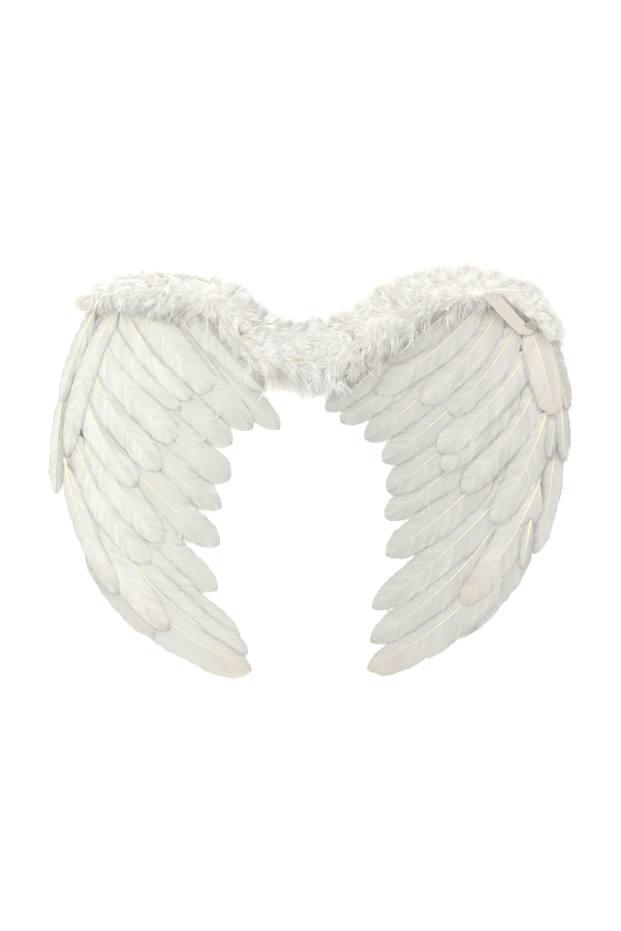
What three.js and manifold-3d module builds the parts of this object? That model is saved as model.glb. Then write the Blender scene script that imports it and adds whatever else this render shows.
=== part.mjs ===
// Angel wings to wear: long white feathers laid in rows on a felt panel, with a deep fur trim and two elastic
// straps. They lie on a table, feathered side up. Millimetres, X to the right, Y towards the shoulders, Z up.
import * as THREE from 'three';
import { mergeVertices } from 'three/addons/utils/BufferGeometryUtils.js';
import Module from 'manifold-3d';

const wasm = await Module();
wasm.setup();

// Driving sizes
const span = 600; // across both wings
const height = 467; // from the top of the fur to the lowest feather tip
const featherWidth = 35; // a flight feather where its tip starts to close
const vaneThickness = 0.6;
const vaneCamber = 1.2; // how far the edges of a vane lie below its shaft
const shaftWidth = 2.6;
const shaftHeight = 0.5; // above the vane
const tipDroop = 4; // how far a feather bends down at its tip
const steepestLay = 0.14; // greatest slope that a feather takes when it is laid
const panelThickness = 2;
const strapWidth = 15;
const strapThickness = 1.2;
const furDepth = 24; // of the fur above what it lies on
const lockLength = 17;
const lockWidth = 15;
const lockPitch = 25; // along the fur between one lock and the next
const gap = 0.3; // between pieces that lie on each other
const pileCell = 1.2; // grid on which the laid pieces are measured
const finestEdge = 0.02; // left by a cut

// A place on the wings, given in hundredths of the span and of the height from the lower left corner
const place = (x, y) => new THREE.Vector2((x / 100 - 0.5) * span, (y / 100 - 0.5) * height);

// Feathers, each row in the order in which they are laid, the first one lowest.
// root and tip are places, bow is how far the shaft bows towards the wing's outer edge in hundredths of its
// length, width is a share of featherWidth, outer is the share of the vane outside the shaft, and taper is
// the share of the length over which the tip closes. Further up, the vane is wider, as vaneShape says.
const leftFlight = [
  { root: [25, 88.5], tip: [44, 60.8], bow: 3, width: 0.92, outer: 0.5, taper: 0.3 },
  { root: [20.8, 88], tip: [38.8, 60.8], bow: 3, width: 0.9, outer: 0.5, taper: 0.2 },
  { root: [19, 75], tip: [35, 57.3], bow: 3, width: 0.9, outer: 0.5, taper: 0.2 },
  { root: [16, 68.5], tip: [34.6, 48.8], bow: 3, width: 1, outer: 0.5, taper: 0.14 },
  { root: [14, 61], tip: [33, 41.8], bow: 3, width: 0.9, outer: 0.5, taper: 0.2 },
  { root: [14, 55], tip: [32.6, 32.8], bow: 4, width: 1, outer: 0.5, taper: 0.22 },
  { root: [14, 46], tip: [32.2, 21.8], bow: 5, width: 1, outer: 0.5, taper: 0.25 },
  { root: [15, 36], tip: [36.4, 10.8], bow: 7, width: 0.95, outer: 0.5, taper: 0.25 },
  { root: [15, 31], tip: [38, 6.6], bow: 7, width: 0.95, outer: 0.5, taper: 0.22 },
  { root: [13, 29], tip: [38.7, 2.4], bow: 8, width: 1.1, outer: 0.6, taper: 0.24 },
  { root: [8, 35], tip: [20.4, 10.8], bow: 5, width: 0.8, outer: 0.5, taper: 0.25 },
];
const leftMiddle = [
  { root: [4.6, 51], tip: [23, 12.2], bow: 5, width: 0.9, outer: 0.5, taper: 0.25 },
  { root: [4.8, 61.5], tip: [19.5, 28.3], bow: 6, width: 0.9, outer: 0.5, taper: 0.22 },
  { root: [8, 62], tip: [22, 33.6], bow: 5, width: 0.9, outer: 0.5, taper: 0.2 },
  { root: [6.5, 72], tip: [17, 47.2], bow: 5, width: 0.85, outer: 0.5, taper: 0.2 },
  { root: [7.5, 79], tip: [21.6, 50.8], bow: 5, width: 0.9, outer: 0.5, taper: 0.2 },
  { root: [8, 86], tip: [24.2, 58], bow: 4, width: 0.9, outer: 0.5, taper: 0.14 },
  { root: [11, 89], tip: [25.2, 65.4], bow: 3, width: 0.85, outer: 0.5, taper: 0.34 },
  { root: [14, 91], tip: [27.3, 68], bow: 3, width: 0.85, outer: 0.5, taper: 0.2 },
  { root: [17, 92.5], tip: [31.2, 70.4], bow: 3, width: 0.9, outer: 0.5, taper: 0.12 },
  { root: [26, 93], tip: [41.3, 70], bow: 3, width: 0.8, outer: 0.5, taper: 0.3 },
];
const leftOuter = [
  { root: [3.6, 54], tip: [13.4, 20.8], bow: 5, width: 0.66, outer: 0.45, taper: 0.25 },
  { root: [3.2, 70], tip: [1.8, 45], bow: 2, width: 0.5, outer: 0.5, taper: 0.3 },
  { root: [9.6, 90.5], tip: [2.8, 67], bow: 3, width: 0.5, outer: 0.5, taper: 0.3 },
  { root: [15, 93], tip: [4.2, 54], bow: 7, width: 0.64, outer: 0.45, taper: 0.3 },
];
const rightFlight = [
  { root: [91, 36], tip: [78.4, 11.4], bow: 3, width: 0.85, outer: 0.5, taper: 0.25 },
  { root: [86, 29], tip: [60.4, 2.7], bow: 6, width: 1.1, outer: 0.6, taper: 0.24 },
  { root: [87, 42], tip: [61, 9.3], bow: 6, width: 0.95, outer: 0.5, taper: 0.2 },
  { root: [91, 53], tip: [61.4, 17.4], bow: 4, width: 1, outer: 0.5, taper: 0.22 },
  { root: [84.5, 53], tip: [64, 30.2], bow: 4, width: 1, outer: 0.5, taper: 0.2 },
  { root: [82.5, 59], tip: [63.8, 39.3], bow: 3, width: 0.9, outer: 0.5, taper: 0.2 },
  { root: [82, 65.5], tip: [64.2, 45.8], bow: 3, width: 1, outer: 0.5, taper: 0.16 },
  { root: [80, 71], tip: [63.3, 53], bow: 3, width: 0.9, outer: 0.5, taper: 0.2 },
  { root: [76.5, 76], tip: [60, 58.4], bow: 3, width: 0.9, outer: 0.5, taper: 0.2 },
  { root: [71.5, 79], tip: [55.4, 62.6], bow: 3, width: 0.85, outer: 0.5, taper: 0.2 },
  { root: [66.5, 82], tip: [52.6, 65.4], bow: 3, width: 0.8, outer: 0.5, taper: 0.3 },
];
const rightMiddle = [
  { root: [95.6, 59], tip: [92, 30.6], bow: 4, width: 0.68, outer: 0.45, taper: 0.25 },
  { root: [93, 49], tip: [78.3, 18.4], bow: 5, width: 0.9, outer: 0.46, taper: 0.22 },
  { root: [94.5, 66], tip: [84, 38], bow: 4, width: 0.9, outer: 0.5, taper: 0.2 },
  { root: [94, 76], tip: [78.2, 45.4], bow: 5, width: 0.9, outer: 0.5, taper: 0.2 },
  { root: [89, 73], tip: [74.4, 50.8], bow: 4, width: 0.85, outer: 0.5, taper: 0.2 },
  { root: [91.5, 81], tip: [73.8, 55.2], bow: 4, width: 0.9, outer: 0.5, taper: 0.16 },
  { root: [89, 87], tip: [76, 64.3], bow: 4, width: 0.85, outer: 0.5, taper: 0.2 },
  { root: [86, 91], tip: [70.7, 67], bow: 4, width: 0.9, outer: 0.5, taper: 0.2 },
  { root: [82.5, 92], tip: [62, 69.4], bow: 4, width: 0.9, outer: 0.5, taper: 0.24 },
  { root: [77, 91.5], tip: [64, 77.2], bow: 3, width: 0.7, outer: 0.5, taper: 0.34 },
];
const rightOuter = [
  { root: [91.2, 39], tip: [89.6, 27], bow: 0, width: 0.4, outer: 0.5, taper: 0.4 },
  { root: [96, 69], tip: [94.6, 53.6], bow: 2, width: 0.45, outer: 0.5, taper: 0.4 },
  { root: [96.4, 70.5], tip: [97.4, 53], bow: 2, width: 0.45, outer: 0.5, taper: 0.4 },
  { root: [94.2, 84], tip: [97.9, 65.6], bow: 2, width: 0.5, outer: 0.5, taper: 0.36 },
  { root: [90.6, 87], tip: [95.4, 64], bow: 3, width: 0.95, outer: 0.5, taper: 0.4 },
];
const featherRows = [
  { name: 'left_flight_feather', side: -1, table: leftFlight, belly: 1 },
  { name: 'right_flight_feather', side: 1, table: rightFlight, belly: 1 },
  { name: 'left_middle_feather', side: -1, table: leftMiddle, belly: 1 },
  { name: 'right_middle_feather', side: 1, table: rightMiddle, belly: 1 },
  { name: 'left_outer_feather', side: -1, table: leftOuter, belly: 0 },
  { name: 'right_outer_feather', side: 1, table: rightOuter, belly: 0 },
];
// The width of a vane along the shaft: s is a share of the length, width a share of the width at the tip, and
// belly what a full feather has on top of it
const vaneShape = [
  { s: 0, width: 0, belly: 0 },
  { s: 0.05, width: 0, belly: 0 },
  { s: 0.2, width: 0.8, belly: 0.35 },
  { s: 0.45, width: 1, belly: 0.3 },
];
const tipShape = [1, 0.45, 0.12, 0]; // shares of the taper

// Outline of the backing panel, as places along its edge
const panelEdge = [
  [50, 81.5], [58, 83], [65, 89], [72, 92], [80, 93], [86, 91], [90, 84], [93, 73], [93.6, 58], [91, 41],
  [85.5, 29], [77, 26], [73, 36], [70, 52], [64, 67], [54.5, 75.5], [50, 77.5],
  [45.5, 75.5], [35.5, 68], [29, 56.5], [26, 40], [24, 27], [18, 23], [11, 32], [6, 46], [4.8, 62], [6, 77],
  [9.5, 87.5], [15, 92], [22, 93], [30, 92], [36, 87], [42, 82.5],
];

// The fur trim from the left shoulder to the right one. at is a place on its middle line, half is its half
// width in hundredths of the height, and deep is a share of furDepth.
const furLine = [
  { at: [6.5, 91.2], half: 1.4, deep: 0.35 },
  { at: [10.5, 93.5], half: 2.6, deep: 0.6 },
  { at: [15.5, 94.4], half: 4, deep: 0.9 },
  { at: [22, 94.2], half: 4.6, deep: 1 },
  { at: [28.5, 93.6], half: 4.5, deep: 1 },
  { at: [33.6, 91], half: 5, deep: 0.95 },
  { at: [37.6, 84.4], half: 5.4, deep: 0.9 },
  { at: [42, 79.8], half: 7, deep: 0.9 },
  { at: [48, 79.2], half: 7.2, deep: 0.95 },
  { at: [53.5, 79.8], half: 7.2, deep: 1 },
  { at: [58, 82.2], half: 6.6, deep: 1 },
  { at: [62.6, 86], half: 6.4, deep: 1 },
  { at: [67.4, 90.2], half: 6.2, deep: 1 },
  { at: [73, 93.8], half: 5.4, deep: 1 },
  { at: [78.8, 95], half: 4.6, deep: 0.95 },
  { at: [84.5, 94.6], half: 3.7, deep: 0.85 },
  { at: [89.2, 92.8], half: 3.5, deep: 0.75 },
  { at: [93.2, 87.6], half: 3, deep: 0.65 },
  { at: [95.6, 83.2], half: 1.6, deep: 0.4 },
];
const furPieces = [
  { name: 'left_fur_trim', first: 0, last: 6 },
  { name: 'centre_fur_trim', first: 6, last: 10 },
  { name: 'right_fur_trim', first: 10, last: 18 },
];

// The right strap in front: from inside the fur down to a flat fold on the feathers and back up into the fur
const strapInFur = [82, 95];
const strapOut = [83.8, 92.4];
const strapFold = [90.1, 83.8];
const strapDive = [92.9, 87.8];
const strapDiveTurn = -49; // degrees, of the strap's width where it goes down through the fur
// The hidden run behind each wing, from the shoulder to the middle
const strapRun = [
  { at: [90.4, 84.6], turn: -52 },
  { at: [86, 81.6], turn: -66 },
  { at: [80, 80.2], turn: -80 },
  { at: [70, 79.8], turn: -90 },
  { at: [59, 80], turn: -90 },
];

const materials = {
  leftFeather: new THREE.MeshStandardMaterial({ color: '#e6e6de', roughness: 0.75 }),
  rightFeather: new THREE.MeshStandardMaterial({ color: '#dcdbd3', roughness: 0.75 }),
  fur: new THREE.MeshStandardMaterial({ color: '#eae9df', roughness: 0.95 }),
  felt: new THREE.MeshStandardMaterial({ color: '#efeee8', roughness: 1 }),
  elastic: new THREE.MeshStandardMaterial({ color: '#e0d9ce', roughness: 0.85 }),
};

// A closed body through rings of points, each ring with the same number of points in the same turn
function loft(rings) {
  const count = rings[0].length;
  const points = rings.flat();
  const faces = [];
  for (let ring = 0; ring + 1 < rings.length; ring += 1) {
    for (let corner = 0; corner < count; corner += 1) {
      const next = (corner + 1) % count;
      const a = ring * count + corner;
      const b = ring * count + next;
      faces.push(a, b, b + count, a, b + count, a + count);
    }
  }
  for (const [ring, outward] of [[rings.length - 1, 1], [0, -1]]) {
    const across = rings[ring][count >> 1].clone().sub(rings[ring][0]).normalize();
    const centre = new THREE.Vector3();
    for (const point of rings[ring]) centre.addScaledVector(point, 1 / count);
    const normal = new THREE.Vector3();
    for (let corner = 0; corner < count; corner += 1) {
      const a = rings[ring][corner].clone().sub(centre);
      normal.add(a.cross(rings[ring][(corner + 1) % count].clone().sub(centre)));
    }
    normal.normalize();
    const up = normal.clone().cross(across);
    const flat = rings[ring].map((point) => new THREE.Vector2(point.dot(across), point.dot(up)));
    for (const face of THREE.ShapeUtils.triangulateShape(flat, [])) {
      const corners = face.map((corner) => ring * count + corner);
      faces.push(...(outward > 0 ? corners : corners.reverse()));
    }
  }
  const geometry = new THREE.BufferGeometry();
  geometry.setAttribute('position', new THREE.Float32BufferAttribute(points.flatMap((p) => p.toArray()), 3));
  geometry.setIndex(faces);
  return geometry;
}

// The pile of pieces laid so far, as the height of its top over each cell of a grid. The floor is 0.
const pile = {
  columns: Math.ceil((span + 2 * lockLength) / pileCell),
  rows: Math.ceil((height + 2 * lockLength) / pileCell),
  column: (x) => Math.round((x + span / 2 + lockLength) / pileCell),
  row: (y) => Math.round((y + height / 2 + lockLength) / pileCell),
  x: (column) => column * pileCell - span / 2 - lockLength,
  y: (row) => row * pileCell - height / 2 - lockLength,
};
pile.top = new Float32Array(pile.columns * pile.rows);

// The cells under a body, with the heights of its lowest and highest faces there
function cellsUnder(geometry) {
  const position = geometry.getAttribute('position');
  const index = geometry.getIndex();
  const cells = new Map();
  const [a, b, c] = [new THREE.Vector3(), new THREE.Vector3(), new THREE.Vector3()];
  for (let face = 0; face < index.count; face += 3) {
    [a, b, c].forEach((corner, k) => corner.fromBufferAttribute(position, index.getX(face + k)));
    const area = (b.x - a.x) * (c.y - a.y) - (b.y - a.y) * (c.x - a.x);
    if (Math.abs(area) < 1e-6) continue;
    for (let i = pile.column(Math.min(a.x, b.x, c.x)); i <= pile.column(Math.max(a.x, b.x, c.x)); i += 1) {
      for (let j = pile.row(Math.min(a.y, b.y, c.y)); j <= pile.row(Math.max(a.y, b.y, c.y)); j += 1) {
        const [x, y] = [pile.x(i), pile.y(j)];
        const atB = ((x - a.x) * (c.y - a.y) - (y - a.y) * (c.x - a.x)) / area;
        const atC = ((b.x - a.x) * (y - a.y) - (b.y - a.y) * (x - a.x)) / area;
        const slack = -0.001;
        if (atB < slack || atC < slack || 1 - atB - atC < slack) continue;
        const z = a.z + atB * (b.z - a.z) + atC * (c.z - a.z);
        const key = j * pile.columns + i;
        const cell = cells.get(key) ?? { x, y, low: Infinity, high: -Infinity };
        cell.low = Math.min(cell.low, z);
        cell.high = Math.max(cell.high, z);
        cells.set(key, cell);
      }
    }
  }
  return cells;
}

function addToPile(cells, lift) {
  for (const [key, cell] of cells) pile.top[key] = Math.max(pile.top[key], cell.high + lift(cell.x, cell.y));
}

// Lays a body on the pile: of all gentle slopes it takes the one in which it lies lowest
function layOnPile(geometry) {
  const cells = cellsUnder(geometry);
  const seats = [];
  const middle = new THREE.Vector2();
  for (const [key, cell] of cells) {
    const top = pile.top[key];
    seats.push([cell.x, cell.y, top + (top > 0 ? gap : 0) - cell.low]);
    middle.add(new THREE.Vector2(cell.x, cell.y).divideScalar(cells.size));
  }
  const position = geometry.getAttribute('position');
  for (let k = 0; k < position.count; k += 1) {
    seats.push([position.getX(k), position.getY(k), -position.getZ(k)]);
  }
  const liftFor = (slopeX, slopeY) => {
    let lift = -Infinity;
    for (const [x, y, z] of seats) {
      lift = Math.max(lift, z - slopeX * (x - middle.x) - slopeY * (y - middle.y));
    }
    return lift;
  };
  let best = { slopeX: 0, slopeY: 0, lift: liftFor(0, 0) };
  for (let step = steepestLay / 4; step > steepestLay / 100; step /= 2) {
    const from = best;
    for (let i = -4; i <= 4; i += 1) {
      for (let j = -4; j <= 4; j += 1) {
        const slopeX = THREE.MathUtils.clamp(from.slopeX + i * step, -steepestLay, steepestLay);
        const slopeY = THREE.MathUtils.clamp(from.slopeY + j * step, -steepestLay, steepestLay);
        const lift = liftFor(slopeX, slopeY);
        if (lift < best.lift) best = { slopeX, slopeY, lift };
      }
    }
  }
  const lift = (x, y) => best.lift + best.slopeX * (x - middle.x) + best.slopeY * (y - middle.y);
  for (let k = 0; k < position.count; k += 1) {
    position.setZ(k, position.getZ(k) + lift(position.getX(k), position.getY(k)));
  }
  addToPile(cells, lift);
  return geometry;
}

// The highest point of the pile within reach of a place
function pileHeight(x, y, reach) {
  const cells = Math.ceil(reach / pileCell);
  let top = 0;
  for (let i = pile.column(x) - cells; i <= pile.column(x) + cells; i += 1) {
    for (let j = pile.row(y) - cells; j <= pile.row(y) + cells; j += 1) {
      if (i < 0 || j < 0 || i >= pile.columns || j >= pile.rows) continue;
      top = Math.max(top, pile.top[j * pile.columns + i]);
    }
  }
  return top;
}

// One feather: a bare shaft at its root, a cambered vane on both sides and a closing tip
function feather(row, side, belly) {
  const root = place(...row.root);
  const along = place(...row.tip).sub(root);
  const length = along.length();
  along.normalize();
  const outward = new THREE.Vector2(-along.y, along.x).multiplyScalar(side);
  const tipRoundness = 2.4;
  const stations = [
    ...vaneShape.map((station) => ({ s: station.s, open: station.width + belly * station.belly })),
    ...tipShape.map((share) => ({ s: 1 - share * row.taper, open: 1 })),
  ];
  const rings = stations.map(({ s, open }) => {
    const bow = (row.bow / 100) * 4;
    const middle = root.clone().addScaledVector(along, s * length);
    middle.addScaledVector(outward, bow * length * s * (1 - s));
    const heading = along.clone().addScaledVector(outward, bow * (1 - 2 * s)).normalize();
    const across = new THREE.Vector2(-heading.y, heading.x).multiplyScalar(side);
    const closing = Math.sqrt(Math.max(0, 1 - Math.max(0, 1 - (1 - s) / row.taper) ** tipRoundness));
    const vane = row.width * featherWidth * open * closing;
    const outer = Math.max(shaftWidth / 2, vane * row.outer);
    const inner = Math.max(shaftWidth / 2, vane * (1 - row.outer));
    const shaft = Math.min(shaftWidth / 2, outer * 0.9, inner * 0.9) * (1 - 0.5 * s);
    const sag = (reach) => -vaneCamber * Math.min(1, reach / (featherWidth / 2));
    const z = -tipDroop * s * s;
    const half = vaneThickness / 2;
    const profile = [
      [outer, sag(outer) + half], [shaft, half], [0, half + shaftHeight * (1 - 0.6 * s)], [-shaft, half],
      [-inner, sag(inner) + half], [-inner, sag(inner) - half], [0, -half], [outer, sag(outer) - half],
    ];
    return profile.map(([v, lift]) => {
      const at = middle.clone().addScaledVector(across, v);
      return new THREE.Vector3(at.x, at.y, z + lift);
    });
  });
  return loft(side > 0 ? rings : rings.map((ring) => ring.reverse()));
}

// The felt panel, flat just above the straps
function backingPanel() {
  const edge = new THREE.CatmullRomCurve3(
    panelEdge.map((at) => new THREE.Vector3(...place(...at).toArray(), 0)), true, 'centripetal');
  const outline = edge.getPoints(2 * panelEdge.length).slice(0, -1).map((p) => new THREE.Vector2(p.x, p.y));
  const shape = new THREE.Shape(outline);
  const geometry = new THREE.ExtrudeGeometry(shape, { depth: panelThickness, bevelEnabled: false });
  geometry.translate(0, 0, strapThickness + gap);
  geometry.deleteAttribute('normal');
  geometry.deleteAttribute('uv');
  return mergeVertices(geometry);
}

// A flat ribbon through stations. turn is the heading of its width, and lean the turn of its thickness about
// that heading.
function ribbon(stations, width, thickness) {
  return loft(stations.map((station) => {
    const turn = THREE.MathUtils.degToRad(station.turn);
    const lean = THREE.MathUtils.degToRad(station.lean);
    const across = new THREE.Vector3(Math.cos(turn), Math.sin(turn), 0);
    const forward = new THREE.Vector3(-Math.sin(turn), Math.cos(turn), 0);
    const out = new THREE.Vector3(0, 0, Math.cos(lean)).addScaledVector(forward, Math.sin(lean));
    const half = (width * (station.widen ?? 1)) / 2;
    return [[half, -1], [-half, -1], [-half, 1], [half, 1]].map(([v, face]) => (
      new THREE.Vector3(station.x, station.y, station.z)
        .addScaledVector(across, v)
        .addScaledVector(out, (face * thickness) / 2)
    ));
  }));
}

const asSolid = (geometry) => new wasm.Manifold(new wasm.Mesh({
  numProp: 3,
  vertProperties: Float32Array.from(geometry.getAttribute('position').array),
  triVerts: Uint32Array.from(geometry.getIndex().array),
}));

function asGeometry(solid) {
  const mesh = solid.getMesh();
  const geometry = new THREE.BufferGeometry();
  geometry.setAttribute('position', new THREE.BufferAttribute(Float32Array.from(mesh.vertProperties), 3));
  geometry.setIndex(new THREE.BufferAttribute(Uint32Array.from(mesh.triVerts), 1));
  return geometry;
}

const wings = new THREE.Group();
function add(name, geometry, material) {
  const mesh = new THREE.Mesh(geometry, material);
  mesh.name = name;
  wings.add(mesh);
}

const panel = backingPanel();
add('backing_panel', panel, materials.felt);
addToPile(cellsUnder(panel), () => 0);

for (const { name, side, table, belly } of featherRows) {
  table.forEach((row, k) => {
    const material = side < 0 ? materials.leftFeather : materials.rightFeather;
    add(`${name}_${String(k + 1).padStart(2, '0')}`, layOnPile(feather(row, side, belly)), material);
  });
}

// The trim's middle line, worked out at each row of furLine: place, heading, size, and what lies under it
const furStations = furLine.map((row, k) => {
  const at = place(...row.at);
  const before = place(...furLine[Math.max(0, k - 1)].at);
  const after = place(...furLine[Math.min(furLine.length - 1, k + 1)].at);
  const heading = after.clone().sub(before).normalize();
  const outward = new THREE.Vector2(-heading.y, heading.x);
  const half = (row.half / 100) * height;
  const reach = Math.max(at.distanceTo(before), at.distanceTo(after));
  let [floor, edge] = [0, -half];
  for (let u = -reach; u <= reach; u += pileCell) {
    for (let v = -1.1 * half; v <= 1.1 * half; v += pileCell) {
      const point = at.clone().addScaledVector(heading, u).addScaledVector(outward, v);
      const top = pileHeight(point.x, point.y, 0);
      if (top > 0) edge = Math.max(edge, v);
      floor = Math.max(floor, top);
    }
  }
  floor += gap;
  edge = Math.min(edge + 1.5 * pileCell, 0.66 * half);
  return { at, heading, outward, half, floor, edge, top: floor + row.deep * furDepth };
});

// The backing of the fur: a roll that lies on the feather roots and reaches the table outside the panel
function furBacking(stations) {
  return loft(stations.map(({ at, outward, half, floor, edge, top }) => {
    const rise = top - floor;
    const profile = [
      [edge, 0], [0.82 * half, 0], [0.9 * half, 0.4 * floor], [0.82 * half, floor + 0.3 * rise],
      [0.54 * half, floor + 0.78 * rise], [0, top], [-0.54 * half, floor + 0.78 * rise],
      [-0.84 * half, floor + 0.34 * rise], [-0.9 * half, floor], [edge, floor],
    ];
    return profile.map(([v, z]) => {
      const point = at.clone().addScaledVector(outward, v);
      return new THREE.Vector3(point.x, point.y, z);
    });
  }));
}

// One tapered lock of fur from a place on the roll, kept clear of what lies under it
function furLock(base, direction, length, width) {
  const side = new THREE.Vector3(0, 0, 1).cross(direction).normalize();
  const shape = [{ along: 0, size: 1 }, { along: 0.5, size: 0.8 }, { along: 1, size: 0.12 }];
  const rings = shape.map(({ along, size }) => {
    const middle = base.clone().addScaledVector(direction, along * length);
    const across = (size * width) / 2;
    const thick = across * 0.55;
    middle.z -= 0.12 * length * along * along;
    const clear = pileHeight(middle.x, middle.y, across + 0.4 * length);
    middle.z = Math.max(middle.z, clear + (clear > 0 ? 2 * gap : 0) + thick);
    return [[1, -0.7], [0, 1], [-1, -0.7]].map(([v, z]) => (
      middle.clone().addScaledVector(side, v * across).add(new THREE.Vector3(0, 0, z * thick))
    ));
  });
  return loft(rings);
}

// Rows of locks: where across the roll they start, at what share of its height, how far they turn out of the
// roll's own direction, and how steeply they rise
const lockRows = [
  { across: 0.68, up: 0.3, swing: 62, rise: -8 },
  { across: 0.46, up: 0.66, swing: 42, rise: 10 },
  { across: 0.12, up: 0.86, swing: 12, rise: 10 },
  { across: -0.3, up: 0.8, swing: -22, rise: 8 },
  { across: -0.66, up: 0.4, swing: -64, rise: -4 },
];

function furTrim({ first, last }) {
  const from = Math.max(0, first - 1);
  const to = Math.min(furStations.length - 1, last + 1);
  let fur = asSolid(furBacking(furStations.slice(from, to + 1)));
  for (const [rowNumber, row] of lockRows.entries()) {
    let walked = rowNumber * 0.38 * lockPitch;
    let count = rowNumber;
    for (let k = from; k < to; k += 1) {
      const [a, b] = [furStations[k], furStations[k + 1]];
      const length = a.at.distanceTo(b.at);
      for (; walked < length; walked += lockPitch) {
        const mix = walked / length;
        const blend = (x, y) => x + (y - x) * mix;
        const uneven = (count * 0.618) % 1;
        const outward = a.outward.clone().lerp(b.outward, mix).normalize();
        const half = blend(a.half, b.half);
        const floor = blend(a.floor, b.floor);
        const middle = a.at.clone().lerp(b.at, mix).addScaledVector(outward, row.across * half);
        const away = middle.x < 0 ? -1 : 1;
        const heading = a.heading.clone().lerp(b.heading, mix).normalize().multiplyScalar(away);
        const swing = THREE.MathUtils.degToRad(row.swing + 24 * (uneven - 0.5));
        const rise = THREE.MathUtils.degToRad(row.rise + 16 * (uneven - 0.5));
        const plan = heading.multiplyScalar(Math.cos(swing)).addScaledVector(outward, Math.sin(swing));
        const direction = new THREE.Vector3(plan.x * Math.cos(rise), plan.y * Math.cos(rise), Math.sin(rise));
        const size = Math.min(1, half / (2 * lockWidth)) * (0.8 + 0.4 * uneven);
        const base = new THREE.Vector3(middle.x, middle.y, floor + row.up * (blend(a.top, b.top) - floor));
        fur = fur.add(asSolid(furLock(base, direction, size * lockLength, size * lockWidth)));
        count += 1;
      }
      walked -= length;
    }
  }
  for (const [k, sign] of [[first, 1], [last, -1]]) {
    if (k === 0 || k === furStations.length - 1) continue;
    const { at, heading } = furStations[k];
    const normal = [heading.x * sign, heading.y * sign, 0];
    fur = fur.trimByPlane(normal, at.dot(heading) * sign + gap / 2);
  }
  return fur;
}

// The outer shell of a body, without hollows closed in between its locks or crumbs cut off it, and without
// the slivers that the cuts leave
function outerShell(solid) {
  const largest = (body) => body.decompose().reduce((a, b) => (b.volume() > a.volume() ? b : a));
  return largest(largest(solid).simplify(finestEdge));
}

// The right strap, from its end in the fur through the fold and the fur to its hidden run under the panel
const strapHalf = strapThickness / 2;
const foldWidening = 1.38; // of the strap's edge where it is cut by the slanting fold
function rightStrapStations() {
  const atShareOfFur = ({ floor, top }, share) => floor + share * (top - floor);
  const nearest = (at) => furStations.reduce((a, b) => (b.at.distanceTo(at) < a.at.distanceTo(at) ? b : a));
  const [start, out, fold, dive] = [strapInFur, strapOut, strapFold, strapDive].map((at) => place(...at));
  const onFeathers = pileHeight(fold.x, fold.y, strapWidth) + gap + strapHalf;
  const turnRadius = strapHalf + gap;
  const inFur = atShareOfFur(nearest(start), 0.6);
  const onFur = atShareOfFur(nearest(out), 0.86);
  const diveTop = atShareOfFur(nearest(dive), 0.7);
  const level = (at, z) => ({ x: at.x, y: at.y, z, turn: 0, lean: 180, widen: foldWidening });
  const stations = [
    level(start, inFur),
    level(out, onFur),
    level(out.clone().lerp(fold, 0.5), 0.45 * onFur + 0.55 * onFeathers),
    level(fold, onFeathers),
  ];
  for (const lean of [225, 270, 315, 360]) {
    const angle = THREE.MathUtils.degToRad(lean);
    stations.push({
      x: fold.x,
      y: fold.y + turnRadius * Math.sin(angle),
      z: onFeathers + turnRadius * (1 + Math.cos(angle)),
      turn: 0,
      lean,
      widen: foldWidening,
    });
  }
  const forward = THREE.MathUtils.degToRad(strapDiveTurn + 90);
  const beyond = (back, z, lean) => ({
    x: dive.x + back * Math.cos(forward), y: dive.y + back * Math.sin(forward), z, lean, turn: strapDiveTurn,
  });
  const bend = 2 * strapThickness;
  stations.push(
    beyond(-3 * bend, diveTop, 360),
    beyond(-bend, diveTop, 360),
    beyond(-0.3 * bend, diveTop - 0.3 * bend, 405),
    beyond(0, diveTop - bend, 450),
    beyond(0, strapHalf + bend, 450),
    beyond(-0.3 * bend, strapHalf + 0.3 * bend, 495),
    beyond(-bend, strapHalf, 540),
  );
  return stations;
}

const hiddenRun = (mirror) => strapRun.map(({ at, turn }) => {
  const point = place(...at);
  return { x: mirror * point.x, y: point.y, turn: mirror * turn, lean: 540, z: strapHalf };
});

const rightStations = [...rightStrapStations(), ...hiddenRun(1)];
const rightStrap = ribbon(rightStations, strapWidth, strapThickness);
const leftStrap = ribbon(hiddenRun(-1), strapWidth, strapThickness);

for (const piece of furPieces) {
  let fur = furTrim(piece);
  if (piece.name === 'right_fur_trim') {
    const clear = ribbon(rightStations, strapWidth + 2 * gap, strapThickness + 2 * gap);
    fur = fur.subtract(asSolid(clear));
  }
  add(piece.name, asGeometry(outerShell(fur)), materials.fur);
}
add('right_strap', rightStrap, materials.elastic);
add('left_strap', leftStrap, materials.elastic);

// The origin is below the middle of the wings, on the table
const box = new THREE.Box3().setFromObject(wings);
const centre = box.getCenter(new THREE.Vector3());
wings.position.set(-centre.x, -centre.y, -box.min.z);

export default wings;
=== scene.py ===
# White feather wings to wear, with a deep fur trim, lying flat on a pale studio floor. For Blender 4.5.
import math

import bmesh
import bpy
import numpy as np
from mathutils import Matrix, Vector, noise
from mathutils.bvhtree import BVHTree
from mathutils.kdtree import KDTree


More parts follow.
